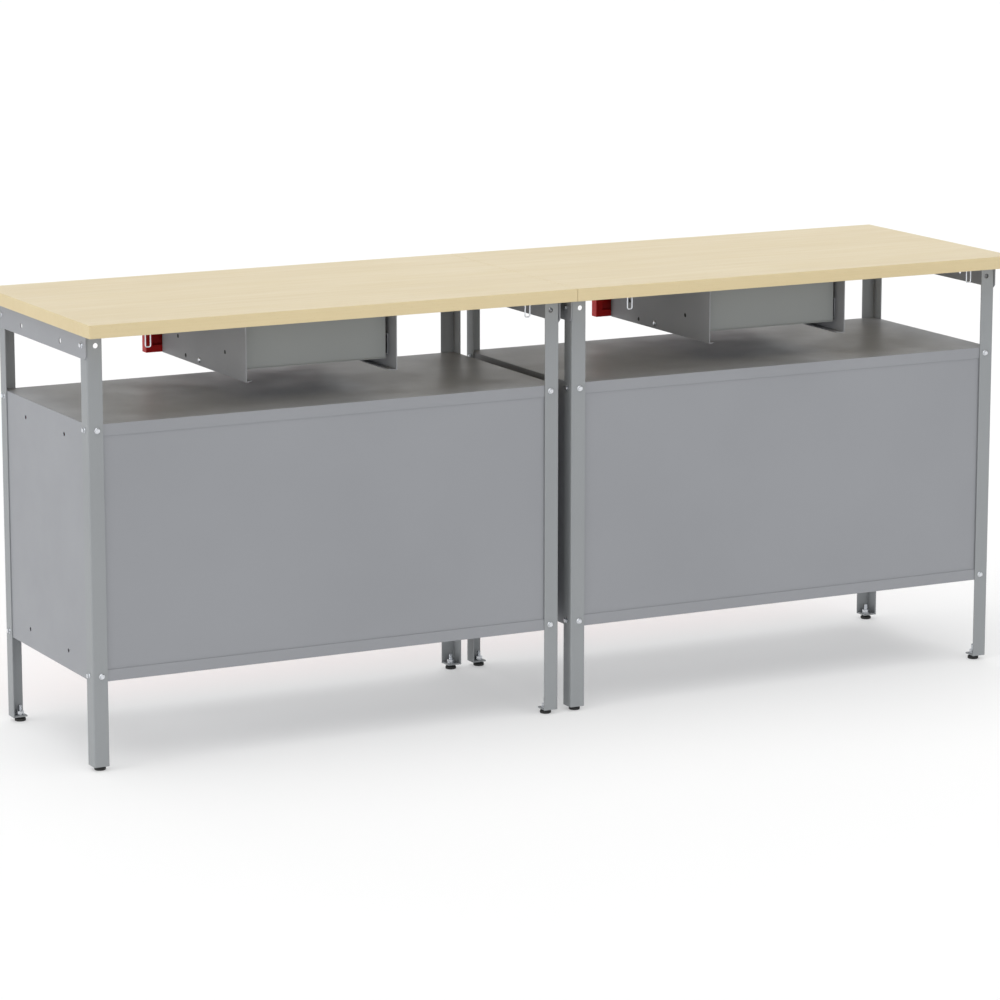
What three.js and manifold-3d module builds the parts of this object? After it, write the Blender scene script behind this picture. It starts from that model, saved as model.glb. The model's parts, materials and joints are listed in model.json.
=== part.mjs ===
// Double workbench: two equal benches side by side, each with a beech worktop on four angle
// legs, a two-door steel cabinet, a hanging drawer under the top and levelling feet.
// Millimetres, +Z up, the floor at z = 0, the fronts towards -Y, the origin below the middle.
import * as THREE from 'three';
import { mergeVertices } from 'three/addons/utils/BufferGeometryUtils.js';
import Module from 'manifold-3d';

const wasm = await Module();
wasm.setup();

// ---- driving dimensions ------------------------------------------------------------------
const BENCH_WIDTH = 1000;
const TOP_DEPTH = 545;
const TOP_THICKNESS = 25;
const HEIGHT = 845;
const FIT = 0.25;                      // gap left between neighbouring pieces

const LEG_SPAN = 972;                  // over the outsides of the legs, left to right
const LEG_DEPTH = 450;                 // the same, front to rear
const REAR_OVERHANG = 50;
const LEG_FLANGE = 30;
const LEG_SHEET = 2;
const LEG_BOTTOM = 9;
const BOLT_INSET = 18;                 // bolt line from the outer corner of a leg
const TOP_HOLE_RADIUS = 5;
const BOLT_HOLE_RADIUS = 3.2;

const RAIL_HEIGHT = 46;
const RAIL_SHEET = 2;
const RAIL_HOLE_RADIUS = 5.25;
const HOLE_SPREAD = 99;                // plain holes in rails and side panels, either way of the middle

const SHEET = 1.5;
const PANEL_HOLE_RADIUS = 4;
const CABINET_TOP = 653;
const CABINET_BOTTOM = 170;
const TRAY_LIP = 22;
const SHELF_TOP = 435;
const SHELF_FLANGE = 25;
const LEDGE_WIDTH = 15;

const DOOR_DEPTH = 16;
const DOOR_GAP = 3;
const PIVOT_INSET = 10;                // hinge pin from the door's hinge edge
const PIN_RADIUS = 3;
const PIN_LENGTH = 6.5;
const LOCK_INSET = 34;

const DRAWER_OFFSET = -14;             // drawer units hang a little left of each bench's middle
const HANGER_SPAN = 314;
const HANGER_SHEET = 2;
const HANGER_BOTTOM = 696;
const HANGER_FRONT = -244;
const HANGER_REAR = 159;
const DRAWER_WIDTH = 291;
const DRAWER_BOTTOM = 716.5;
const DRAWER_TOP = 800;
const DRAWER_REAR = 133;
const FRONT_WIDTH = 381;
const FRONT_HEIGHT = 115.5;
const FRONT_DEPTH = 20;
const FRONT_BACK = -246;
const RUNNER_MIDDLE = 742;
const PULL_WIDTH = 108;
const PULL_HEIGHT = 34;
const PULL_DEPTH = 16;

const LOOP_WIRE = 2.5;
const LOOP_WIDTH = 12.5;
const LOOP_DROP = 24;
const LOOP_REAR_INSET = 7;
const LOOP_PLACES = { right: 383, left: -395 };

// ---- places worked out from them ---------------------------------------------------------
const UNDERSIDE = HEIGHT - TOP_THICKNESS;
const REAR = TOP_DEPTH / 2 - REAR_OVERHANG;
const FRONT = REAR - LEG_DEPTH;
const MIDDLE_Y = (REAR + FRONT) / 2;
const LEG_X = LEG_SPAN / 2;
const LEG_TOP = UNDERSIDE - FIT;
const BOLT_LEVELS = [CABINET_BOTTOM + TRAY_LIP / 2, CABINET_TOP - TRAY_LIP / 2];
const RAIL_BOLT_LEVEL = UNDERSIDE - 21;
const PANEL_OUT = LEG_X - LEG_SHEET - FIT;             // outer face of a cabinet side
const TRAY_X = PANEL_OUT - SHEET - FIT;                // half the width of the folded trays
const CABINET_REAR = REAR - LEG_SHEET - FIT;
const CABINET_FRONT = FRONT + LEG_SHEET + 2.75;
const DOOR_LOW = CABINET_BOTTOM + TRAY_LIP;
const DOOR_HEIGHT = CABINET_TOP - TRAY_LIP - SHEET - DOOR_LOW;
const PIVOT_Y = FRONT + SHEET + DOOR_DEPTH / 2 + 1;
const DOOR_FACE = -DOOR_DEPTH / 2 - 1;                 // front of the sheet, from the pivot
const DOOR_EDGE = LEG_X - LEG_FLANGE - DOOR_GAP;
const PIVOT_X = DOOR_EDGE - PIVOT_INSET;
const DOOR_WIDTH = DOOR_EDGE - DOOR_GAP / 2;
const HANGER_X = HANGER_SPAN / 2;
const LOOP_Y = TOP_DEPTH / 2 - LOOP_REAR_INSET;

// ---- finishes ----------------------------------------------------------------------------
const finish = (color, roughness, metalness) => () =>
  new THREE.MeshStandardMaterial({ color, roughness, metalness, flatShading: true });
const beech = finish(0xe7d7b3, 0.55, 0);
const greyPaint = finish(0xa7a9ac, 0.45, 0.1);
const greyLeg = finish(0x999c9f, 0.45, 0.1);
const redPaint = finish(0xa3160f, 0.4, 0.1);
const zinc = finish(0xc8cacd, 0.3, 1);
const blackPlastic = finish(0x1b1b1c, 0.6, 0);

// ---- solids ------------------------------------------------------------------------------
function toSolid(geometry) {
  geometry.deleteAttribute('normal');
  geometry.deleteAttribute('uv');
  const merged = mergeVertices(geometry, 1e-4);
  return new wasm.Manifold(new wasm.Mesh({
    numProp: 3,
    vertProperties: new Float32Array(merged.attributes.position.array),
    triVerts: new Uint32Array(merged.index.array),
  }));
}

function toGeometry(solid) {
  const mesh = solid.getMesh();
  const geometry = new THREE.BufferGeometry();
  const points = new Float32Array(mesh.vertProperties);
  geometry.setAttribute('position', new THREE.BufferAttribute(points, 3));
  geometry.setIndex(Array.from(mesh.triVerts));
  geometry.computeVertexNormals();
  return geometry;
}

// A block between two limits on each axis, given in either order.
function slab([xa, xb], [ya, yb], [za, zb]) {
  const size = [Math.abs(xb - xa), Math.abs(yb - ya), Math.abs(zb - za)];
  const geometry = new THREE.BoxGeometry(...size);
  geometry.translate((xa + xb) / 2, (ya + yb) / 2, (za + zb) / 2);
  return toSolid(geometry);
}

// A round bar from a starting point along one axis.
function rod(axis, radius, start, length, sides = 12) {
  const geometry = new THREE.CylinderGeometry(radius, radius, length, sides);
  geometry.translate(0, length / 2, 0);
  if (axis === 'x') geometry.rotateZ(-Math.PI / 2);
  if (axis === 'z') geometry.rotateX(Math.PI / 2);
  geometry.translate(...start);
  return toSolid(geometry);
}

// A bar along X with the outline given as [y, z] points.
function prism(outline, [xa, xb]) {
  const shape = new THREE.Shape(outline.map(([y, z]) => new THREE.Vector2(y, z)));
  const geometry = new THREE.ExtrudeGeometry(shape, { depth: xb - xa, bevelEnabled: false });
  geometry.applyMatrix4(new THREE.Matrix4().makeBasis(
    new THREE.Vector3(0, 1, 0), new THREE.Vector3(0, 0, 1), new THREE.Vector3(1, 0, 0)));
  geometry.translate(xa, 0, 0);
  return toSolid(geometry);
}

const join = (solids) => solids.reduce((whole, solid) => whole.add(solid));
const cut = (body, tools) => tools.reduce((rest, tool) => rest.subtract(tool), body);

// ---- worktop -----------------------------------------------------------------------------
function worktop() {
  const edge = 1.5;
  const halfX = BENCH_WIDTH / 2 - FIT;
  const halfY = TOP_DEPTH / 2;
  const outline = new THREE.Shape();
  outline.moveTo(-halfX, -halfY);
  outline.lineTo(halfX, -halfY);
  outline.lineTo(halfX, halfY);
  outline.lineTo(-halfX, halfY);
  outline.closePath();
  const geometry = new THREE.ExtrudeGeometry(outline, {
    depth: TOP_THICKNESS - 2 * edge,
    bevelThickness: edge,
    bevelSize: edge,
    bevelOffset: -edge,
    bevelSegments: 2,
  });
  geometry.translate(0, 0, edge);
  return toGeometry(toSolid(geometry));
}

// ---- leg: an angle with its outer corner at the origin and flanges along +X and +Y ----------
function leg() {
  const bend = LEG_SHEET + 1;
  const profile = new THREE.Shape();
  profile.moveTo(LEG_FLANGE, 0);
  profile.lineTo(bend, 0);
  profile.absarc(bend, bend, bend, -Math.PI / 2, -Math.PI, true);
  profile.lineTo(0, LEG_FLANGE);
  profile.lineTo(LEG_SHEET, LEG_FLANGE);
  profile.lineTo(LEG_SHEET, bend);
  profile.absarc(bend, bend, bend - LEG_SHEET, Math.PI, 1.5 * Math.PI, false);
  profile.lineTo(LEG_FLANGE, LEG_SHEET);
  profile.closePath();
  const length = LEG_TOP - LEG_BOTTOM;
  const angle = new THREE.ExtrudeGeometry(profile, {
    depth: length, bevelEnabled: false, curveSegments: 5,
  });
  const plateSize = LEG_FLANGE - 1;
  const plate = slab([1, plateSize], [1, plateSize], [0, 3]);
  const stud = rod('z', BOLT_HOLE_RADIUS + 1.3, [BOLT_INSET, BOLT_INSET, -1], 6);
  const holes = [...BOLT_LEVELS, RAIL_BOLT_LEVEL].flatMap((level) => {
    const radius = level === RAIL_BOLT_LEVEL ? TOP_HOLE_RADIUS : BOLT_HOLE_RADIUS;
    const z = level - LEG_BOTTOM;
    return [
      rod('y', radius, [BOLT_INSET, -1, z], LEG_SHEET + 2, 16),
      rod('x', radius, [-1, BOLT_INSET, z], LEG_SHEET + 2, 16),
    ];
  });
  return toGeometry(cut(join([toSolid(angle), plate]), [stud, ...holes]));
}

// ---- levelling foot: a round pad with its threaded stud, on the floor -------------------------
function foot() {
  const profile = [[0, 0], [10, 0], [11, 1.5], [11, 5], [9, 7], [4, 7], [4, 29.5], [3, 31], [0, 31]];
  const points = profile.map(([r, z]) => new THREE.Vector2(r, z));
  const geometry = new THREE.LatheGeometry(points, 16);
  geometry.rotateX(Math.PI / 2);
  return toGeometry(toSolid(geometry));
}

// ---- side rail: outer face towards +X, its inner face at x = 0 ----------------------------------
function sideRail() {
  const half = LEG_DEPTH / 2 + 1.75;
  const chamfer = 6;
  const web = prism([
    [-half, 0], [-half, -RAIL_HEIGHT + chamfer], [-half + chamfer, -RAIL_HEIGHT],
    [half - chamfer, -RAIL_HEIGHT], [half, -RAIL_HEIGHT + chamfer], [half, 0],
  ], [0, RAIL_SHEET]);
  const tabHalf = LEG_DEPTH / 2 - LEG_FLANGE - 4;
  const tabDepth = 28;
  const tab = slab([-tabDepth, 1], [-tabHalf, tabHalf], [-LEG_SHEET, 0]);
  const boltY = LEG_DEPTH / 2 - BOLT_INSET;
  const boltZ = RAIL_BOLT_LEVEL - LEG_TOP;
  const holes = [-1, 1].flatMap((side) => [
    rod('x', BOLT_HOLE_RADIUS, [-1, side * boltY, boltZ], RAIL_SHEET + 2),
    rod('x', RAIL_HOLE_RADIUS, [-1, side * HOLE_SPREAD, boltZ - 7], RAIL_SHEET + 2),
    rod('z', 2.6, [-tabDepth / 2, side * (tabHalf - 30), -LEG_SHEET - 1], LEG_SHEET + 2),
  ]);
  return toGeometry(cut(join([web, tab]), holes));
}

// ---- cabinet ---------------------------------------------------------------------------------
// A folded tray, open side up: its floor at z = 0, a lip all round, and along the front a
// second fold inwards that carries the doors' pivot pins.
function cabinetTray() {
  const fold = CABINET_FRONT + 22;
  const block = slab([-TRAY_X, TRAY_X], [CABINET_FRONT, CABINET_REAR], [0, TRAY_LIP]);
  const hollow = prism([
    [CABINET_FRONT + SHEET, SHEET], [CABINET_REAR - SHEET, SHEET],
    [CABINET_REAR - SHEET, TRAY_LIP + 1], [fold, TRAY_LIP + 1],
    [fold, TRAY_LIP - SHEET], [CABINET_FRONT + SHEET, TRAY_LIP - SHEET],
  ], [-TRAY_X + SHEET, TRAY_X - SHEET]);
  const pins = [-1, 1].map((s) =>
    rod('z', PIN_RADIUS + 0.1, [s * PIVOT_X, PIVOT_Y, TRAY_LIP - SHEET - 1], SHEET + 2));
  return toGeometry(cut(block, [hollow, ...pins]));
}

function cabinetBack() {
  const half = TRAY_X - SHEET - FIT;
  const outer = CABINET_REAR - SHEET - FIT;
  const levels = [CABINET_BOTTOM + SHEET + FIT, CABINET_TOP - SHEET - FIT];
  return toGeometry(slab([-half, half], [outer - SHEET, outer], levels));
}

// A side panel with a folded front edge and a welded ledge for the shelf; side is -1 or 1.
function cabinetSide(side) {
  const inner = PANEL_OUT - SHEET;
  const across = (a, b) => [side * a, side * b];
  const ledgeTop = SHELF_TOP - SHELF_FLANGE - FIT;
  const ledgeRun = [CABINET_FRONT + 42, CABINET_REAR - 20];
  const parts = [
    slab(across(inner, PANEL_OUT), [CABINET_FRONT, CABINET_REAR - 1], [CABINET_BOTTOM, CABINET_TOP]),
    slab(across(PANEL_OUT - 15, PANEL_OUT), [CABINET_FRONT, CABINET_FRONT + SHEET],
      [CABINET_BOTTOM + TRAY_LIP + 0.5, CABINET_TOP - TRAY_LIP - 0.5]),
    slab(across(inner - LEDGE_WIDTH, inner + 0.5), ledgeRun, [ledgeTop - SHEET, ledgeTop]),
    slab(across(inner - SHEET, inner + 0.5), ledgeRun, [ledgeTop - 20, ledgeTop]),
  ];
  const holes = [CABINET_BOTTOM + 36, CABINET_TOP - 36].flatMap((level) =>
    [-HOLE_SPREAD, HOLE_SPREAD].map((y) =>
      rod('x', PANEL_HOLE_RADIUS, [side * PANEL_OUT - 3, MIDDLE_Y + y, level], 6)));
  return toGeometry(cut(join(parts), holes));
}

function shelf() {
  const half = PANEL_OUT - SHEET - 2.25;
  const deep = [CABINET_FRONT + 27.75, CABINET_REAR - 2 * SHEET - 2.25];
  const block = slab([-half, half], deep, [SHELF_TOP - SHELF_FLANGE, SHELF_TOP]);
  const hollow = slab([-half + SHEET, half - SHEET], [deep[0] + SHEET, deep[1] - SHEET],
    [SHELF_TOP - SHELF_FLANGE - 1, SHELF_TOP - SHEET]);
  return toGeometry(block.subtract(hollow));
}

// ---- door: its pivot axis is x = y = 0, and hinge is the side that the pivot is on -----------------
function door(hinge, hasLock) {
  const edge = hinge * PIVOT_INSET;
  const free = edge - hinge * DOOR_WIDTH;
  const back = DOOR_FACE + DOOR_DEPTH;
  const block = slab([edge, free], [DOOR_FACE, back], [0, DOOR_HEIGHT]);
  const hollow = slab([edge - hinge * SHEET, free + hinge * SHEET], [DOOR_FACE + SHEET, back + 1],
    [SHEET, DOOR_HEIGHT - SHEET]);
  const pins = [
    rod('z', PIN_RADIUS, [0, 0, -PIN_LENGTH], PIN_LENGTH + SHEET / 2),
    rod('z', PIN_RADIUS, [0, 0, DOOR_HEIGHT - SHEET / 2], PIN_LENGTH + SHEET / 2),
  ];
  const panel = join([block.subtract(hollow), ...pins]);
  const lockX = free + hinge * LOCK_INSET;
  const bore = rod('y', 5.5, [lockX, DOOR_FACE - 1, DOOR_HEIGHT / 2], SHEET + 2);
  return toGeometry(hasLock ? panel.subtract(bore) : panel);
}

// ---- door lock: lever and cam turn on the spindle, the line x = z = 0; y = 0 is the door's face -----
function lockHandle() {
  const reach = 60;
  const parts = [
    rod('y', 11, [0, -15, 0], 15 - FIT, 20),
    rod('y', 5, [0, -1, 0], 15),
    slab([-7, 7], [-15, -6], [-reach, 0]),
    rod('y', 7, [0, -15, -reach], 9),
  ];
  return toGeometry(join(parts));
}

function lockCam() {
  const reach = 22;
  const cam = join([
    rod('y', 10, [0, 9.5, 0], 3),
    slab([-reach, 0], [9.5, 12.5], [-7, 7]),
    rod('y', 7, [-reach, 9.5, 0], 3),
  ]);
  return toGeometry(cam.subtract(rod('y', 5 + FIT, [0, 8, 0], 6)));
}

// ---- drawer unit: x = 0 is the middle of the unit ---------------------------------------------
// One of the two plates that hang the drawer from the worktop; side is -1 or 1.
function drawerHanger(side) {
  const across = (a, b) => [side * a, side * b];
  const run = [HANGER_FRONT, HANGER_REAR];
  const footIn = HANGER_X - 16;
  const plates = join([
    slab(across(HANGER_X - HANGER_SHEET, HANGER_X), run, [HANGER_BOTTOM, LEG_TOP]),
    slab(across(footIn, HANGER_X), run, [HANGER_BOTTOM, HANGER_BOTTOM + HANGER_SHEET]),
    slab(across(HANGER_X - HANGER_SHEET, HANGER_X + 20), [HANGER_FRONT + 14, HANGER_REAR - 15],
      [LEG_TOP - HANGER_SHEET, LEG_TOP]),
  ]);
  const corner = new THREE.BoxGeometry(16, 16, 8);
  corner.rotateZ(Math.PI / 4);
  corner.translate(side * footIn, HANGER_REAR + 1, HANGER_BOTTOM);
  const places = [[-128, 10.5, 4.25], [-61, 11, 3], [62, 44, 4.25], [-165, 43, 4.25]];
  const holes = places.map(([y, up, radius]) =>
    rod('x', radius, [side * HANGER_X - 4, y, HANGER_BOTTOM + up], 8));
  return toGeometry(cut(plates, [toSolid(corner), ...holes]));
}

// A fixed C-shaped runner on the inside of a hanger plate.
function drawerRunner(side) {
  const out = HANGER_X - HANGER_SHEET - FIT;
  const inner = DRAWER_WIDTH / 2 + 0.75;
  const run = [HANGER_FRONT + 6, HANGER_REAR - 34];
  const [low, high] = [RUNNER_MIDDLE - 20, RUNNER_MIDDLE + 20];
  return toGeometry(join([
    slab([side * (out - SHEET), side * out], run, [low, high]),
    slab([side * inner, side * out], run, [low, low + SHEET]),
    slab([side * inner, side * out], run, [high - SHEET, high]),
  ]));
}

// The drawer's steel box with its sliding strips.
function drawerBox() {
  const half = DRAWER_WIDTH / 2;
  const deep = [FRONT_BACK + FIT, DRAWER_REAR];
  const block = slab([-half, half], deep, [DRAWER_BOTTOM, DRAWER_TOP]);
  const hollow = slab([-half + SHEET, half - SHEET], [deep[0] + SHEET, DRAWER_REAR - SHEET],
    [DRAWER_BOTTOM + SHEET, DRAWER_TOP + 1]);
  const strips = [-1, 1].map((s) =>
    slab([s * (half - 0.5), s * (half + 7)], [deep[0] + 8, DRAWER_REAR - 73],
      [RUNNER_MIDDLE - 16, RUNNER_MIDDLE + 16]));
  return toGeometry(join([block.subtract(hollow), ...strips]));
}

// The folded front, with a cut-out for the pull.
function drawerFront() {
  const half = FRONT_WIDTH / 2;
  const face = FRONT_BACK - FRONT_DEPTH;
  const [low, high] = [HANGER_BOTTOM + 0.5, HANGER_BOTTOM + 0.5 + FRONT_HEIGHT];
  const lip = 14;
  const within = (inset) => [[-half + inset, half - inset], [low + inset, high - inset]];
  const [wide, tall] = within(SHEET);
  const [gapWide, gapTall] = within(lip);
  const panel = cut(slab([-half, half], [face, FRONT_BACK], [low, high]), [
    slab(wide, [face + SHEET, FRONT_BACK - SHEET], tall),
    slab(gapWide, [FRONT_BACK - SHEET - 1, FRONT_BACK + 1], gapTall),
  ]);
  const middle = (low + high) / 2;
  const window = slab([-PULL_WIDTH / 2 - FIT, PULL_WIDTH / 2 + FIT], [face - 1, face + SHEET + 1],
    [middle - PULL_HEIGHT / 2 - FIT, middle + PULL_HEIGHT / 2 + FIT]);
  return toGeometry(panel.subtract(window));
}

// A recessed cup with a rim that lies on the front; y = 0 is the face of the front.
function drawerPull() {
  const wall = 2;
  const rim = 5;
  const block = (grow, deep) => slab([-PULL_WIDTH / 2 - grow, PULL_WIDTH / 2 + grow], deep,
    [-PULL_HEIGHT / 2 - grow, PULL_HEIGHT / 2 + grow]);
  const body = join([block(0, [-1, PULL_DEPTH]), block(rim, [-1.75, -FIT])]);
  return toGeometry(body.subtract(block(-wall, [-4, PULL_DEPTH - wall])));
}

// ---- wire loop: a U of round wire that hangs from the worktop, its ends at z = 0 -------------------
function wireLoop() {
  const half = (LOOP_WIDTH - LOOP_WIRE) / 2;
  const bend = 3;
  const low = -LOOP_DROP + LOOP_WIRE / 2;
  const path = new THREE.CurvePath();
  const point = (x, z) => new THREE.Vector3(x, 0, z);
  path.add(new THREE.LineCurve3(point(-half, 0), point(-half, low + bend)));
  path.add(new THREE.QuadraticBezierCurve3(
    point(-half, low + bend), point(-half, low), point(-half + bend, low)));
  path.add(new THREE.LineCurve3(point(-half + bend, low), point(half - bend, low)));
  path.add(new THREE.QuadraticBezierCurve3(
    point(half - bend, low), point(half, low), point(half, low + bend)));
  path.add(new THREE.LineCurve3(point(half, low + bend), point(half, 0)));
  const section = new THREE.Shape();
  section.absarc(0, 0, LOOP_WIRE / 2, 0, 2 * Math.PI, false);
  const geometry = new THREE.ExtrudeGeometry(section, {
    steps: 20, curveSegments: 4, bevelEnabled: false, extrudePath: path,
  });
  return toGeometry(toSolid(geometry));
}

// ---- assembly ---------------------------------------------------------------------------------
function place(group, name, geometry, material, position = [0, 0, 0], turn = [0, 0, 0]) {
  const mesh = new THREE.Mesh(geometry, material());
  mesh.name = name;
  mesh.position.set(...position);
  mesh.rotation.set(...turn);
  group.add(mesh);
}

const SIDES = [['left', -1], ['right', 1]];

function addLegs(bench, title) {
  const turns = { '-1,-1': 0, '1,-1': Math.PI / 2, '1,1': Math.PI, '-1,1': -Math.PI / 2 };
  for (const [end, sy, y] of [['front', -1, FRONT], ['rear', 1, REAR]]) {
    for (const [side, sx] of SIDES) {
      const at = [sx * LEG_X, y, LEG_BOTTOM];
      place(bench, `${title}_leg_${end}_${side}`, leg(), greyLeg, at, [0, 0, turns[`${sx},${sy}`]]);
      const pad = [sx * (LEG_X - BOLT_INSET), y - sy * BOLT_INSET, 0];
      place(bench, `${title}_foot_${end}_${side}`, foot(), blackPlastic, pad);
    }
  }
}

function addCabinet(bench, title) {
  place(bench, `${title}_cabinet_bottom`, cabinetTray(), greyPaint, [0, 0, CABINET_BOTTOM]);
  const upsideDown = [0, Math.PI, 0];
  place(bench, `${title}_cabinet_top`, cabinetTray(), greyPaint, [0, 0, CABINET_TOP], upsideDown);
  place(bench, `${title}_cabinet_back`, cabinetBack(), greyPaint);
  place(bench, `${title}_shelf`, shelf(), greyPaint);
  for (const [side, sx] of SIDES) {
    place(bench, `${title}_cabinet_side_${side}`, cabinetSide(sx), greyPaint);
    const pivot = [sx * PIVOT_X, PIVOT_Y, DOOR_LOW + 0.75];
    place(bench, `${title}_door_${side}`, door(sx, sx > 0), redPaint, pivot);
  }
  const lockX = DOOR_EDGE - DOOR_WIDTH + LOCK_INSET;
  const spindle = [lockX, PIVOT_Y + DOOR_FACE, DOOR_LOW + 0.75 + DOOR_HEIGHT / 2];
  place(bench, `${title}_lock_handle`, lockHandle(), blackPlastic, spindle);
  place(bench, `${title}_lock_cam`, lockCam(), zinc, spindle);
}

function addDrawer(bench, title) {
  const unit = new THREE.Group();
  unit.position.x = DRAWER_OFFSET;
  bench.add(unit);
  for (const [side, sx] of SIDES) {
    place(unit, `${title}_drawer_hanger_${side}`, drawerHanger(sx), greyPaint);
    place(unit, `${title}_drawer_runner_${side}`, drawerRunner(sx), zinc);
  }
  place(unit, `${title}_drawer_box`, drawerBox(), greyPaint);
  place(unit, `${title}_drawer_front`, drawerFront(), redPaint);
  const pull = [0, FRONT_BACK - FRONT_DEPTH, HANGER_BOTTOM + 0.5 + FRONT_HEIGHT / 2];
  place(unit, `${title}_drawer_pull`, drawerPull(), blackPlastic, pull);
}

function addTop(bench, title) {
  place(bench, `${title}_worktop`, worktop(), beech, [0, 0, UNDERSIDE]);
  for (const [side, sx] of SIDES) {
    const at = [sx * (LEG_X + FIT), MIDDLE_Y, LEG_TOP];
    const turn = [0, 0, sx > 0 ? 0 : Math.PI];
    place(bench, `${title}_side_rail_${side}`, sideRail(), greyPaint, at, turn);
    const hook = [LOOP_PLACES[side], LOOP_Y, LEG_TOP];
    place(bench, `${title}_wire_loop_${side}`, wireLoop(), zinc, hook);
  }
}

const workbench = new THREE.Group();
for (const [side, sx] of SIDES) {
  const bench = new THREE.Group();
  bench.position.x = (sx * BENCH_WIDTH) / 2;
  workbench.add(bench);
  const title = `${side}_bench`;
  addTop(bench, title);
  addLegs(bench, title);
  addCabinet(bench, title);
  addDrawer(bench, title);
}

export default workbench;
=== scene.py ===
"""Looks of a double workbench: finishes, rolled sheet edges, fasteners, light and camera."""

import json
import logging
import math
from dataclasses import dataclass, field
from enum import Enum
from typing import Iterable

import bmesh
import bpy
from mathutils import Matrix, Vector


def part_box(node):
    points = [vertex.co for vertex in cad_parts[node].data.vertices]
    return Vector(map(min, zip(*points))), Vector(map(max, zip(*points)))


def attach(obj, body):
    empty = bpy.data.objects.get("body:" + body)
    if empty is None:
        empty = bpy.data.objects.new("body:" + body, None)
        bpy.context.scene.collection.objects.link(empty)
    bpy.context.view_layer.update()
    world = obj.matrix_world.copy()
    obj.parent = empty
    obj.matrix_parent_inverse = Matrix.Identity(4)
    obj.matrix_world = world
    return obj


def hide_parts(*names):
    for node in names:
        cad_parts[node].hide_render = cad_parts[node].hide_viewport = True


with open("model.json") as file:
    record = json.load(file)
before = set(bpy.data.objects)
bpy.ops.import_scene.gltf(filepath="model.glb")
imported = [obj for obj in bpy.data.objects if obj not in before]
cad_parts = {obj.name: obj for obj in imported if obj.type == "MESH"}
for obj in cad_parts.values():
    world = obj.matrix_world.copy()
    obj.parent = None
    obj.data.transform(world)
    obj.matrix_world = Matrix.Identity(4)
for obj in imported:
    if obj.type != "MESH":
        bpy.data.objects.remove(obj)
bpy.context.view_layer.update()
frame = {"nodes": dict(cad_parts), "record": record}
BODIES: dict[str, list[str]] = frame["record"]["behaviour"]["bodies"]
NODE_BODY: dict[str, str] = {node: body for body, nodes in BODIES.items() for node in nodes}
STATIC_BODY = "frame"
BENCHES = ("left_bench", "right_bench")
SIDES = {"left": -1, "right": 1}
ENDS = {"front": -1, "rear": 1}
SHEET = 0.002  # thickness of the rails' and hangers' sheet
HANGER_FLANGE = 0.020  # width of a drawer hanger's top flange
LOCK_DROP = 0.011  # from the top of a lock handle down to its axis
Verts = list[bmesh.types.BMVert]

log = logging.getLogger("workbench")


# ---- node helpers ------------------------------------------------------------------------


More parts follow.
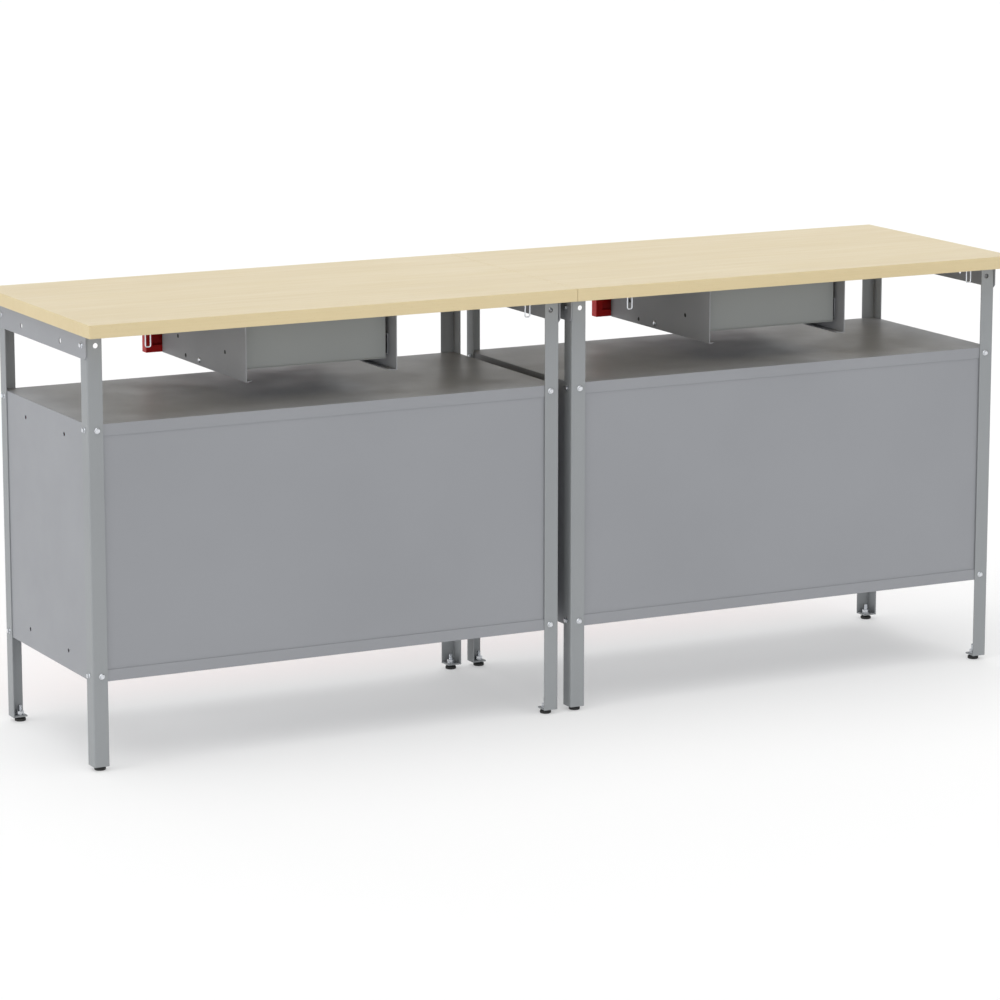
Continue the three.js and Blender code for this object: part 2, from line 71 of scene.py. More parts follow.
class Tree:
    """A small wrapper that builds a material's node tree."""

    def __init__(self, name: str) -> None:
        """Starts an empty material.

        Args:
            name: the material's name.
        """
        self.material = bpy.data.materials.new(name)
        self.material.use_nodes = True
        self.nodes = self.material.node_tree.nodes
        self.links = self.material.node_tree.links
        self.shader = self.nodes["Principled BSDF"]
        self.coords = self.nodes.new("ShaderNodeTexCoord").outputs["Object"]

    def feed(self, socket: bpy.types.NodeSocket, value: object) -> None:
        """Links a socket into another, or sets its value.

        Args:
            socket: the input socket.
            value: an output socket, or a plain value.
        """
        if isinstance(value, bpy.types.NodeSocket):
            self.links.new(value, socket)
        else:
            socket.default_value = value

    def stretched(self, scale: tuple[float, float, float]) -> bpy.types.NodeSocket:
        """Stretches the object coordinates.

        Args:
            scale: the factor on each axis.

        Returns:
            The stretched coordinates.
        """
        node = self.nodes.new("ShaderNodeMapping")
        node.inputs["Scale"].default_value = scale
        self.feed(node.inputs["Vector"], self.coords)
        return node.outputs["Vector"]

    def noise(self, vector: bpy.types.NodeSocket, scale: float, detail: float = 2.0,
              roughness: float = 0.5, distortion: float = 0.0) -> bpy.types.NodeSocket:
        """Adds a noise over a vector.

        Args:
            vector: where the noise is read.
            scale: waves per metre.
            detail: octaves.
            roughness: weight of the finer octaves.
            distortion: how far the pattern is warped.

        Returns:
            The noise's value, about 0.5 in the middle.
        """
        node = self.nodes.new("ShaderNodeTexNoise")
        self.feed(node.inputs["Vector"], vector)
        node.inputs["Scale"].default_value = scale
        node.inputs["Detail"].default_value = detail
        node.inputs["Roughness"].default_value = roughness
        node.inputs["Distortion"].default_value = distortion
        return node.outputs["Fac"]

    def spread(self, value: bpy.types.NodeSocket, source: tuple[float, float],
               target: tuple[float, float]) -> bpy.types.NodeSocket:
        """Maps a value from one range to another and clamps it.

        Args:
            value: the value.
            source: the range that it comes from.
            target: the range that it is mapped to.

        Returns:
            The mapped value.
        """
        node = self.nodes.new("ShaderNodeMapRange")
        for name, number in zip(("From Min", "From Max", "To Min", "To Max"), source + target):
            node.inputs[name].default_value = number
        self.feed(node.inputs["Value"], value)
        return node.outputs["Result"]

    def calc(self, operation: str, first: object, second: object) -> bpy.types.NodeSocket:
        """Adds a math node with two inputs.

        Args:
            operation: the node's operation.
            first: the first socket or number.
            second: the second socket or number.

        Returns:
            The node's result.
        """
        node = self.nodes.new("ShaderNodeMath")
        node.operation = operation
        self.feed(node.inputs[0], first)
        self.feed(node.inputs[1], second)
        return node.outputs["Value"]

    def mix(self, factor: object, first: object, second: object) -> bpy.types.NodeSocket:
        """Mixes two colours.

        Args:
            factor: 0 for the first colour, 1 for the second.
            first: the first colour or socket.
            second: the second colour or socket.

        Returns:
            The mixed colour.
        """
        node = self.nodes.new("ShaderNodeMix")
        node.data_type = "RGBA"
        self.feed(node.inputs["Factor"], factor)
        self.feed(node.inputs["A"], first)
        self.feed(node.inputs["B"], second)
        return node.outputs["Result"]

    def bump(self, height: bpy.types.NodeSocket, strength: float, depth: float) -> None:
        """Feeds a height into the shader's normal.

        Args:
            height: the height value.
            strength: how strongly the bump shows.
            depth: the height of a full step, in metres.
        """
        node = self.nodes.new("ShaderNodeBump")
        node.inputs["Strength"].default_value = strength
        node.inputs["Distance"].default_value = depth
        self.feed(node.inputs["Height"], height)
        self.feed(self.shader.inputs["Normal"], node.outputs["Normal"])


def shade(colour: tuple[float, float, float], factor: float) -> tuple[float, float, float, float]:
    """Returns a colour multiplied by a factor, with alpha 1."""
    return tuple(channel * factor for channel in colour) + (1.0,)


# ---- finishes ----------------------------------------------------------------------------


@dataclass(frozen=True)
class PowderCoat:
    """A satin powder coat with a fine orange-peel skin."""

    name: str
    colour: tuple[float, float, float]
    roughness: float = 0.42
    unevenness: float = 0.035
    peel_scale: float = 620.0
    peel_strength: float = 0.10

    def build(self) -> bpy.types.Material:
        """Builds the finish's material.

        Returns:
            The material.
        """
        tree = Tree(self.name)
        cloudy = tree.noise(tree.coords, 3.1, 3.0)
        speckle = tree.noise(tree.coords, 1900.0, 1.0)
        blend = tree.calc("ADD", tree.calc("MULTIPLY", cloudy, 0.75),
                          tree.calc("MULTIPLY", speckle, 0.25))
        tone = tree.mix(tree.spread(blend, (0.3, 0.7), (0.0, 1.0)),
                        shade(self.colour, 1 - self.unevenness), shade(self.colour, 1 + self.unevenness))
        tree.feed(tree.shader.inputs["Base Color"], tone)
        smear = tree.noise(tree.coords, 11.0, 4.0, 0.6)
        low, high = self.roughness - 0.05, self.roughness + 0.07
        tree.feed(tree.shader.inputs["Roughness"], tree.spread(smear, (0.3, 0.7), (low, high)))
        tree.bump(tree.noise(tree.coords, self.peel_scale, 2.0), self.peel_strength, 0.0004)
        tree.shader.inputs["Specular IOR Level"].default_value = 0.16
        return tree.material


@dataclass(frozen=True)
class BeechFace:
    """The lacquered face of a beech board, its grain along X."""

    name: str
    pale: tuple[float, float, float]
    dark: tuple[float, float, float]
    roughness: float = 0.42

    def build(self) -> bpy.types.Material:
        """Builds the finish's material.

        Returns:
            The material.
        """
        tree = Tree(self.name)
        bands = tree.noise(tree.stretched((0.8, 9.0, 9.0)), 1.0, 4.0, 0.55, 0.6)
        lines = tree.noise(tree.stretched((6.0, 330.0, 330.0)), 1.0, 3.0, 0.6, 0.2)
        flecks = tree.noise(tree.stretched((160.0, 900.0, 900.0)), 1.0, 1.0)
        grain = tree.calc("ADD", tree.calc("MULTIPLY", bands, 0.6), tree.calc("MULTIPLY", lines, 0.4))
        base = tree.mix(tree.spread(grain, (0.32, 0.68), (0.0, 1.0)),
                        shade(self.pale, 1), shade(self.dark, 1))
        fleck = tree.spread(flecks, (0.66, 0.78), (0.0, 0.30))
        tree.feed(tree.shader.inputs["Base Color"], tree.mix(fleck, base, shade(self.dark, 0.72)))
        sheen = tree.noise(tree.stretched((5.0, 60.0, 60.0)), 1.0, 3.0)
        low, high = self.roughness - 0.05, self.roughness + 0.08
        tree.feed(tree.shader.inputs["Roughness"], tree.spread(sheen, (0.3, 0.7), (low, high)))
        tree.bump(lines, 0.12, 0.0003)
        return tree.material


@dataclass(frozen=True)
class ZincPlate:
    """Bright zinc plating with a faint cloudy bloom."""

    name: str
    colour: tuple[float, float, float] = (0.66, 0.68, 0.71)
    roughness: float = 0.27

    def build(self) -> bpy.types.Material:
        """Builds the finish's material.

        Returns:
            The material.
        """
        tree = Tree(self.name)
        cloud = tree.noise(tree.coords, 140.0, 3.0, 0.6)
        tone = tree.mix(tree.spread(cloud, (0.35, 0.65), (0.0, 1.0)),
                        shade(self.colour, 0.9), shade(self.colour, 1.08))
        tree.feed(tree.shader.inputs["Base Color"], tone)
        low, high = self.roughness - 0.06, self.roughness + 0.12
        tree.feed(tree.shader.inputs["Roughness"], tree.spread(cloud, (0.3, 0.7), (low, high)))
        tree.shader.inputs["Metallic"].default_value = 1.0
        tree.bump(tree.noise(tree.coords, 1500.0, 2.0), 0.05, 0.0002)
        return tree.material


@dataclass(frozen=True)
class MouldedPlastic:
    """A dark moulded plastic or rubber with a fine sparked texture."""

    name: str
    colour: tuple[float, float, float] = (0.018, 0.018, 0.019)
    roughness: float = 0.5
    grain: float = 1100.0

    def build(self) -> bpy.types.Material:
        """Builds the finish's material.

        Returns:
            The material.
        """
        tree = Tree(self.name)
        patch = tree.noise(tree.coords, 70.0, 3.0)
        tone = tree.mix(tree.spread(patch, (0.3, 0.7), (0.0, 1.0)),
                        shade(self.colour, 0.8), shade(self.colour, 1.35))
        tree.feed(tree.shader.inputs["Base Color"], tone)
        low, high = self.roughness - 0.06, self.roughness + 0.1
        tree.feed(tree.shader.inputs["Roughness"], tree.spread(patch, (0.3, 0.7), (low, high)))
        tree.bump(tree.noise(tree.coords, self.grain, 2.0, 0.6), 0.25, 0.0003)
        return tree.material


class Finish(Enum):
    """The finishes of the bench, each with the record's slot that it repaints."""

    PANEL = (PowderCoat("panel_grey_coat", (0.282, 0.290, 0.308)), "grey_paint")
    LEG = (PowderCoat("leg_grey_coat", (0.282, 0.295, 0.304)), "grey_leg")
    DRAWER = (PowderCoat("drawer_grey_coat", (0.243, 0.256, 0.256)), "grey_paint")
    RED = (PowderCoat("signal_red_coat", (0.44, 0.012, 0.012), 0.36, 0.03), "red_paint")
    BEECH = (BeechFace("beech_face", (0.665, 0.56, 0.352), (0.625, 0.515, 0.312)), "beech_top")
    # a darker, rougher copy of the beech for the worktop's upright faces: the darker colour is painted
    # shade
    BEECH_EDGE = (BeechFace("beech_edge_painted_shade", (0.635, 0.525, 0.312), (0.59, 0.48, 0.275), 0.5), "beech_top")
    ZINC = (ZincPlate("bright_zinc"), "zinc")
    RUNNER = (ZincPlate("rolled_zinc", (0.52, 0.54, 0.56), 0.38), "zinc")
    PLASTIC = (MouldedPlastic("black_nylon"), "black_plastic")
    RUBBER = (MouldedPlastic("black_rubber", (0.012, 0.012, 0.012), 0.68, 500.0), "black_plastic")

    def material(self) -> bpy.types.Material:
        """Returns the finish's material, made once."""
        maker = self.value[0]
        return bpy.data.materials.get(maker.name) or maker.build()

    def dress(self, piece: bpy.types.Object) -> None:
        """Gives a piece this finish as its first material."""
        piece.data.materials.append(self.material())


# ---- mesh helpers ------------------------------------------------------------------------


def publish(mesh: bmesh.types.BMesh, name: str, finish: Finish, body: str,
            sharp: float = 32.0) -> bpy.types.Object:
    """Turns a bmesh into a finished piece at the origin.

    Args:
        mesh: the shape, which is freed.
        name: the piece's name.
        finish: its finish.
        body: the body that it rides on.
        sharp: the angle in degrees above which an edge stays sharp.

    Returns:
        The new object.
    """
    data = bpy.data.meshes.new(name)
    mesh.to_mesh(data)
    mesh.free()
    for polygon in data.polygons:
        polygon.use_smooth = True
    data.set_sharp_from_angle(angle=math.radians(sharp))
    piece = bpy.data.objects.new(name, data)
    bpy.context.scene.collection.objects.link(piece)
    finish.dress(piece)
    normals = piece.modifiers.new("normals", "WEIGHTED_NORMAL")
    normals.keep_sharp = True
    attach(piece, body)
    log.info("%s: %d faces on %s", name, len(data.polygons), body)
    return piece


def merged_copy(node: str) -> bmesh.types.BMesh:
    """Copies a CAD node with its corners merged and its flat faces whole.

    Args:
        node: the node's name.

    Returns:
        The copy as a bmesh.
    """
    mesh = bmesh.new()
    mesh.from_mesh(frame["nodes"][node].data)
    bmesh.ops.remove_doubles(mesh, verts=mesh.verts, dist=1e-5)
    flat = math.radians(0.5)
    bmesh.ops.dissolve_limit(mesh, angle_limit=flat, verts=mesh.verts, edges=mesh.edges)
    return mesh


def soften(mesh: bmesh.types.BMesh, width: float, segments: int = 2, angle: float = 50.0) -> None:
    """Rounds every edge that is sharper than an angle.

    Args:
        mesh: the shape to round.
        width: the size of the rounding, in metres.
        segments: steps across the rounding.
        angle: the least angle between faces, in degrees.
    """
    limit = math.radians(angle)
    edges = [e for e in mesh.edges if len(e.link_faces) == 2 and e.calc_face_angle(0.0) > limit]
    bmesh.ops.bevel(mesh, geom=edges, offset=width, offset_type="OFFSET", affect="EDGES",
                    segments=segments, profile=0.5, material=-1, clamp_overlap=True)


def turned(mesh: bmesh.types.BMesh, outline: Iterable[tuple[float, float]],
           steps: int = 28) -> Verts:
    """Adds a shape turned about Z from an outline.

    Args:
        mesh: the bmesh that receives it.
        outline: (radius, height) points from one end to the other, on the axis at both ends.
        steps: sides of the turned shape.

    Returns:
        The new vertices.
    """
    before = set(mesh.verts)
    verts = [mesh.verts.new((radius, 0.0, height)) for radius, height in outline]
    edges = [mesh.edges.new(pair) for pair in zip(verts, verts[1:])]
    bmesh.ops.spin(mesh, geom=verts + edges, cent=(0, 0, 0), axis=(0, 0, 1), dvec=(0, 0, 0),
                   angle=math.tau, steps=steps, use_merge=True, use_duplicate=False)
    fresh = [v for v in mesh.verts if v not in before]
    bmesh.ops.remove_doubles(mesh, verts=fresh, dist=1e-6)
    fresh = [v for v in mesh.verts if v not in before]
    faces = list(dict.fromkeys(f for v in fresh for f in v.link_faces))
    bmesh.ops.recalc_face_normals(mesh, faces=faces)
    return fresh


def prism(mesh: bmesh.types.BMesh, sides: int, across: float, low: float, high: float,
          edge: float = 0.0) -> Verts:
    """Adds an upright prism on the Z axis, given by the distance across its flats.

    Args:
        mesh: the bmesh that receives it.
        sides: the number of sides.
        across: the distance across the flats.
        low: the height of its foot.
        high: the height of its top.
        edge: the rounding of its rims.

    Returns:
        The new vertices.
    """
    before = set(mesh.verts)
    radius = across / 2 / math.cos(math.pi / sides)
    place = Matrix.Translation((0, 0, (low + high) / 2))
    bmesh.ops.create_cone(mesh, cap_ends=True, cap_tris=False, segments=sides, radius1=radius,
                          radius2=radius, depth=high - low, matrix=place)
    fresh = [v for v in mesh.verts if v not in before]
    if edge:
        rims = list(dict.fromkeys(e for v in fresh for e in v.link_edges
                                  if abs(e.verts[0].co.z - e.verts[1].co.z) < 1e-9))
        bmesh.ops.bevel(mesh, geom=rims, offset=edge, offset_type="OFFSET", affect="EDGES",
                        segments=2, profile=0.5, material=-1)
        fresh = [v for v in mesh.verts if v not in before]
    return fresh


def aim(direction: Vector, at: Vector) -> Matrix:
    """Returns the placement that turns +Z to a direction and moves the origin to a point."""
    return Matrix.Translation(at) @ direction.to_track_quat("Z", "Y").to_matrix().to_4x4()


def middle(node: str) -> Vector:
    """Returns the middle of a CAD node's box."""
    low, high = (Vector(corner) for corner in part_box(node))
    return (low + high) / 2


# ---- worktops ----------------------------------------------------------------------------


@dataclass
class Worktop:
    """One beech board with rounded edges, its upright edge faces given a darker copy of the face's beech
    as painted shade.
    """

    node: str
    rounding: float = 0.0011

    def build(self) -> None:
        """Makes the board in the place of its CAD node."""
        low, high = (Vector(corner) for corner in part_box(self.node))
        mesh = bmesh.new()
        size = Matrix.Diagonal((*(high - low), 1.0))
        bmesh.ops.create_cube(mesh, size=1.0, matrix=Matrix.Translation((low + high) / 2) @ size)
        bmesh.ops.bevel(mesh, geom=mesh.edges[:], offset=self.rounding, offset_type="OFFSET",
                        affect="EDGES", segments=3, profile=0.5, material=-1)
        piece = publish(mesh, f"{self.node}_board", Finish.BEECH, STATIC_BODY, 40.0)
        # the second material is the darker copy for the upright faces, painted shade on the edges
        piece.data.materials.append(Finish.BEECH_EDGE.material())
        for polygon in piece.data.polygons:
            polygon.material_index = int(abs(polygon.normal.z) < 0.5)
        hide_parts(self.node)


# ---- folded sheet and other CAD shapes with rolled edges ------------------------------------


@dataclass
class RolledPiece:
    """A CAD node remade with rounded edges and its finish."""

    node: str
    finish: Finish
    rounding: float = 0.0005
    segments: int = 2
    angle: float = 50.0

    def build(self) -> None:
        """Makes the piece in the place of its CAD node."""
        mesh = merged_copy(self.node)
        soften(mesh, self.rounding, self.segments, self.angle)
        piece = publish(mesh, f"{self.node}_skin", self.finish, NODE_BODY[self.node])
        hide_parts(self.node)


@dataclass
class DrawerBox:
    """The painted drawer box with its bright sliding strips and a hem under its rear wall."""

    bench: str
    strip_reach: float = 0.007  # how far a strip stands out from the box's side
    hem_reach: float = 0.0025
    hem_height: float = 0.0018
    hem_inset: float = 0.001
    rounding: float = 0.0005

    def build(self) -> None:
        """Makes the box in the place of its CAD node."""
        node = f"{self.bench}_drawer_box"
        low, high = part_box(node)
        wall = (high[0] - low[0]) / 2 - self.strip_reach
        centre = (high[0] + low[0]) / 2
        mesh = merged_copy(node)
        soften(mesh, self.rounding)
        piece = publish(mesh, f"{node}_skin", Finish.DRAWER, NODE_BODY[node])
        piece.data.materials.append(Finish.RUNNER.material())
        side = wall + self.rounding / 10
        for polygon in piece.data.polygons:
            polygon.material_index = int(abs(polygon.center.x - centre) > side)
        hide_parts(node)
        self._hem(centre, wall, high[1], low[2])

    def _hem(self, centre: float, half: float, rear: float, base: float) -> None:
        """Makes the hem, the edge of the drawer's floor that stands out behind the rear wall.

        Args:
            centre: the middle of the drawer along X.
            half: half of the drawer's width.
            rear: the outer face of the rear wall.
            base: the underside of the drawer.
        """
        mesh = bmesh.new()
        length = 2 * (half - self.hem_inset)
        size = Matrix.Diagonal((length, self.hem_reach, self.hem_height, 1.0))
        at = Matrix.Translation((centre, rear + self.hem_reach / 2, base + self.hem_height / 2))
        bmesh.ops.create_cube(mesh, size=1.0, matrix=at @ size)
        soften(mesh, 0.0004)
        body = NODE_BODY[f"{self.bench}_drawer_box"]
        publish(mesh, f"{self.bench}_drawer_hem", Finish.DRAWER, body)


# ---- fasteners ---------------------------------------------------------------------------


@dataclass
class Fasteners:
    """The zinc bolts, nuts and screws of one bench, gathered in one piece."""

    name: str
    flange: float = 0.0112  # a bolt's flange, its diameter
    collar: float = 0.0016  # its height at the head
    across: float = 0.008  # the head across its flats
    head: float = 0.0045
    shank: float = 0.0029  # its radius
    nut_across: float = 0.0098
    nut_height: float = 0.0048
    thread_end: float = 0.0075  # how far the shank reaches behind the sheets
    mesh: bmesh.types.BMesh = field(default_factory=bmesh.new)

    def bolt(self, at: Vector, out: Vector, grip: float) -> None:
        """Adds a flanged hexagon bolt with a nut behind the sheets that it holds.

        Args:
            at: the point under the head.
            out: the way the head faces.
            grip: the distance from the head to the nut.
        """
        half = self.flange / 2
        rim = [(0, 0), (half, 0), (half, 0.0007), (half * 0.86, 0.0013), (half * 0.6, self.collar),
               (0, self.collar)]
        fresh = turned(self.mesh, rim, 24)
        fresh += prism(self.mesh, 6, self.across, 0.001, self.head, 0.0005)
        fresh += prism(self.mesh, 16, 2 * self.shank, -grip - self.thread_end, 0.0005)
        fresh += self._nut_verts(-grip - self.nut_height, -grip, self.nut_across)
        bmesh.ops.transform(self.mesh, matrix=aim(out, at), verts=fresh)

    def _nut_verts(self, low: float, high: float, across: float) -> Verts:
        """Adds a hexagon nut on the Z axis and returns its vertices."""
        return prism(self.mesh, 6, across, low, high, 0.0006)

    def nut(self, at: Vector, up: Vector, across: float, height: float) -> None:
        """Adds a nut on a washer.

        Args:
            at: the point under the washer.
            up: the way from the washer to the nut.
            across: the distance across the nut's flats.
            height: the nut's height.
        """
        washer = 0.0014
        fresh = prism(self.mesh, 28, across * 1.3, 0.0, washer, 0.0003)
        fresh += self._nut_verts(washer, washer + height, across)
        bmesh.ops.transform(self.mesh, matrix=aim(up, at), verts=fresh)

    def screw(self, at: Vector, out: Vector, radius: float = 0.0042) -> None:
        """Adds a domed screw head with its shank.

        Args:
            at: the point under the head.
            out: the way the head faces.
            radius: the head's radius.
        """
        rim, rise = 0.0005, 0.0021
        dome = [(0, 0), (radius, 0), (radius, rim)]
        dome += [(radius * math.cos(a), rim + rise * math.sin(a))
                 for a in (math.radians(d) for d in range(15, 76, 15))]
        fresh = turned(self.mesh, dome + [(0, rim + rise)], 24)
        fresh += prism(self.mesh, 12, 0.0034, -0.012, 0.0004)
        bmesh.ops.transform(self.mesh, matrix=aim(out, at), verts=fresh)

    def finish(self) -> None:
        """Publishes the gathered fasteners."""
        publish(self.mesh, self.name, Finish.ZINC, STATIC_BODY, 30.0)


@dataclass
class Fixings:
    """Places every fastener of one bench from the frame's own sizes."""

    bench: str
    inset: float = 0.018  # of a leg's bolts and stud from the leg's corner
    lip_middle: float = 0.011  # of a cabinet bolt from the tray's outer face
    rail_drop: float = 0.021  # of a rail bolt below the worktop
    face_grip: float = 0.004  # from head to nut, through a leg and a tray's lip
    side_grip: float = 0.006  # the same, through a leg, a side panel and a tray's side
    rail_grip: float = 0.0055  # the same, through a rail and a leg
    foot_plate: float = 0.003
    foot_nut: tuple[float, float] = (0.013, 0.0065)  # across its flats, height
    rail_screws: tuple[float, float] = (0.014, 0.161)  # from the tab's edge and the rail's middle
    hanger_screws: tuple[float, ...] = (0.12, 0.5, 0.88)  # shares of the hanger's length
    hanger_inset: float = 0.011  # of those screws from the hanger's plate
    runner_screw: tuple[float, float] = (0.183, 0.011)  # from the hanger's front and foot
    runner_screw_radius: float = 0.0054

    def build(self) -> None:
        """Makes the bench's fasteners."""
        gathered = Fasteners(f"{self.bench}_fasteners")
        levels = (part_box(f"{self.bench}_cabinet_bottom")[0][2] + self.lip_middle,
                  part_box(f"{self.bench}_cabinet_top")[1][2] - self.lip_middle)
        for end, sy in ENDS.items():
            for side, sx in SIDES.items():
                self._leg(gathered, f"{self.bench}_leg_{end}_{side}", sx, sy, levels)
        for side, sx in SIDES.items():
            self._rail(gathered, side, sx)
            self._hanger(gathered, side, sx)
        gathered.finish()

    def _leg(self, gathered: Fasteners, leg: str, sx: int, sy: int,
             levels: tuple[float, float]) -> None:
        """Adds the cabinet bolts on both flanges of a leg and the nut on its foot.

        Args:
            gathered: the fasteners.
            leg: the leg's node.
            sx: -1 for a left leg, 1 for a right one.
            sy: -1 for a front leg, 1 for a rear one.
            levels: the heights of the bolts.
        """
        low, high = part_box(leg)
        x = high[0] if sx > 0 else low[0]
        y = high[1] if sy > 0 else low[1]
        for z in levels:
            gathered.bolt(Vector((x - sx * self.inset, y, z)), Vector((0, sy, 0)), self.face_grip)
            gathered.bolt(Vector((x, y - sy * self.inset, z)), Vector((sx, 0, 0)), self.side_grip)
        plate = Vector((x - sx * self.inset, y - sy * self.inset, low[2] + self.foot_plate))
        gathered.nut(plate, Vector((0, 0, 1)), *self.foot_nut)

    def _rail(self, gathered: Fasteners, side: str, sx: int) -> None:
        """Adds the two bolts of a side rail and the screws up into the worktop.

        Args:
            gathered: the fasteners.
            side: the rail's side.
            sx: -1 for the left rail, 1 for the right one.
        """
        low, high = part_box(f"{self.bench}_side_rail_{side}")
        outer = high[0] if sx > 0 else low[0]
        inner = low[0] if sx > 0 else high[0]
        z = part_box(f"{self.bench}_worktop")[0][2] - self.rail_drop
        across, along = self.rail_screws
        for end, sy in ENDS.items():
            leg_low, leg_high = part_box(f"{self.bench}_leg_{end}_{side}")
            y = (leg_high[1] if sy > 0 else leg_low[1]) - sy * self.inset
            gathered.bolt(Vector((outer, y, z)), Vector((sx, 0, 0)), self.rail_grip)
            screw_y = (low[1] + high[1]) / 2 + sy * along
            at = Vector((inner + sx * across, screw_y, high[2] - SHEET))
            gathered.screw(at, Vector((0, 0, -1)))

    def _hanger(self, gathered: Fasteners, side: str, sx: int) -> None:
        """Adds a drawer hanger's runner screw and the screws of its top flange.

        Args:
            gathered: the fasteners.
            side: the hanger's side.
            sx: -1 for the left hanger, 1 for the right one.
        """
        low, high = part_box(f"{self.bench}_drawer_hanger_{side}")
        plate = (high[0] if sx > 0 else low[0]) - sx * HANGER_FLANGE
        along, up = self.runner_screw
        at = Vector((plate, low[1] + along, low[2] + up))
        gathered.screw(at, Vector((sx, 0, 0)), self.runner_screw_radius)
        length = high[1] - low[1]
        for share in self.hanger_screws:
            x = plate + sx * self.hanger_inset
            at = Vector((x, low[1] + share * length, high[2] - SHEET))
            gathered.screw(at, Vector((0, 0, -1)))


# ---- levelling feet ------------------------------------------------------------------------


@dataclass
class LevellingFoot:
    """A rubber-soled pad on a threaded stud."""

    node: str
    pad_height: float = 0.0070
    pitch: float = 0.00125
    crest: float = 0.004
    root: float = 0.00345

    def build(self) -> None:
        """Makes the pad and the stud in the place of the CAD node."""
        centre = middle(self.node)
        floor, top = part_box(self.node)[0][2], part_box(self.node)[1][2]
        place = Matrix.Translation((centre.x, centre.y, floor))
        body = NODE_BODY[self.node]
        pad = bmesh.new()
        turned(pad, [(0, 0), (0.0096, 0), (0.0106, 0.0006), (0.011, 0.0016), (0.011, 0.0046),
                     (0.0104, 0.0056), (0.0082, 0.0062), (0.0074, self.pad_height),
                     (0.0, self.pad_height)], 36)
        bmesh.ops.transform(pad, matrix=place, verts=pad.verts)
        sole = publish(pad, f"{self.node}_pad", Finish.RUBBER, body)
        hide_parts(self.node)
        stud = bmesh.new()
        height = top - floor
        turned(stud, self._thread(self.pad_height, height), 20)
        bmesh.ops.transform(stud, matrix=place, verts=stud.verts)
        publish(stud, f"{self.node}_stud", Finish.ZINC, body, 25.0)

    def _thread(self, start: float, end: float) -> list[tuple[float, float]]:
        """Draws a threaded rod's outline, sunk a little in the pad and plain just above it.

        Args:
            start: the height of the pad's top.
            end: the height of the rod's end.

        Returns:
            Points of (radius, height) from its foot to its end.
        """
        sunk, plain, tip = 0.001, 0.004, 0.001
        height = start + plain
        points = [(0.0, start - sunk), (self.crest, start - sunk), (self.crest, height)]
        while height + self.pitch < end - tip:
            points += [(self.root, height + self.pitch * 0.4), (self.root, height + self.pitch * 0.5),
                       (self.crest, height + self.pitch * 0.9), (self.crest, height + self.pitch)]
            height += self.pitch
        return points + [(self.root * 0.85, end), (0.0, end)]


# ---- wire loops ----------------------------------------------------------------------------


@dataclass
class WireLoop:
    """A U of round zinc wire under the rear edge of the worktop."""

    node: str
    wire: float = 0.00125
    bend: float = 0.003
    turns: int = 8

    def build(self) -> None:
        """Makes the loop by sweeping a circle round the U."""
        low, high = (Vector(corner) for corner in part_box(self.node))
        half = (high.x - low.x) / 2 - self.wire
        base = low.z + self.wire
        x, y = middle(self.node).x, middle(self.node).y
        mesh = bmesh.new()
        bmesh.ops.create_circle(mesh, segments=16, radius=self.wire, cap_ends=True,
                                matrix=Matrix.Translation((x - half, y, high.z)))
        mesh.faces.ensure_lookup_table()
        face = self._run(mesh, mesh.faces[0], Vector((0, 0, base + self.bend - high.z)))
        face = self._turn(mesh, face, Vector((x - half + self.bend, y, base + self.bend)))
        face = self._run(mesh, face, Vector((2 * (half - self.bend), 0, 0)))
        face = self._turn(mesh, face, Vector((x + half - self.bend, y, base + self.bend)))
        self._run(mesh, face, Vector((0, 0, high.z - base - self.bend)))
        bmesh.ops.recalc_face_normals(mesh, faces=mesh.faces[:])
        piece = publish(mesh, f"{self.node}_wire", Finish.ZINC, STATIC_BODY, 60.0)
        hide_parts(self.node)

    def _grow(self, mesh: bmesh.types.BMesh, face: bmesh.types.BMFace,
              move: Matrix) -> bmesh.types.BMFace:
        """Extends the wire from its end face to that face moved.

        Args:
            mesh: the wire.
            face: its end face, which is taken away unless it is the first cap.
            move: how the end face moves.

        Returns:
            The new end face.
        """
        inner = len(face.edges[0].link_faces) > 1
        made = bmesh.ops.extrude_face_region(mesh, geom=[face])["geom"]
        if inner:
            bmesh.ops.delete(mesh, geom=[face], context="FACES_ONLY")
        verts = [item for item in made if isinstance(item, bmesh.types.BMVert)]
        bmesh.ops.transform(mesh, matrix=move, verts=verts)
        return next(item for item in made if isinstance(item, bmesh.types.BMFace))

    def _run(self, mesh: bmesh.types.BMesh, face: bmesh.types.BMFace,
             by: Vector) -> bmesh.types.BMFace:
        """Extends the wire straight and returns its new end."""
        return self._grow(mesh, face, Matrix.Translation(by))

    def _turn(self, mesh: bmesh.types.BMesh, face: bmesh.types.BMFace,
              about: Vector) -> bmesh.types.BMFace:
        """Bends the wire a quarter turn.

        Args:
            mesh: the wire.
            face: its end face.
            about: the point that it turns round.

        Returns:
            The new end face.
        """
        step = Matrix.Rotation(-math.pi / 2 / self.turns, 4, "Y")
        move = Matrix.Translation(about) @ step @ Matrix.Translation(-about)
        for _ in range(self.turns):
            face = self._grow(mesh, face, move)
        return face


# ---- fronts --------------------------------------------------------------------------------


@dataclass
class LockPlate:
    """The round plate behind a lock handle, fixed to the door."""

    bench: str
    radius: float = 0.0165
    bore: float = 0.0118
    height: float = 0.0022
    chamfer: float = 0.001

    def build(self) -> None:
        """Makes the plate on the right-hand door."""
        door = f"{self.bench}_door_right"
        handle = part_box(f"{self.bench}_lock_handle")
        x = (handle[0][0] + handle[1][0]) / 2
        z = handle[1][2] - LOCK_DROP
        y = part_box(door)[0][1]
        mesh = bmesh.new()
        outline = [(self.bore, 0), (self.radius, 0), (self.radius, self.height - self.chamfer),
                   (self.radius - 1.2 * self.chamfer, self.height), (self.bore, self.height),
                   (self.bore, 0)]
        turned(mesh, outline, 40)
        place = aim(Vector((0, -1, 0)), Vector((x, y, z)))
        bmesh.ops.transform(mesh, matrix=place, verts=mesh.verts)
        publish(mesh, f"{self.bench}_lock_plate", Finish.PLASTIC, NODE_BODY[door])


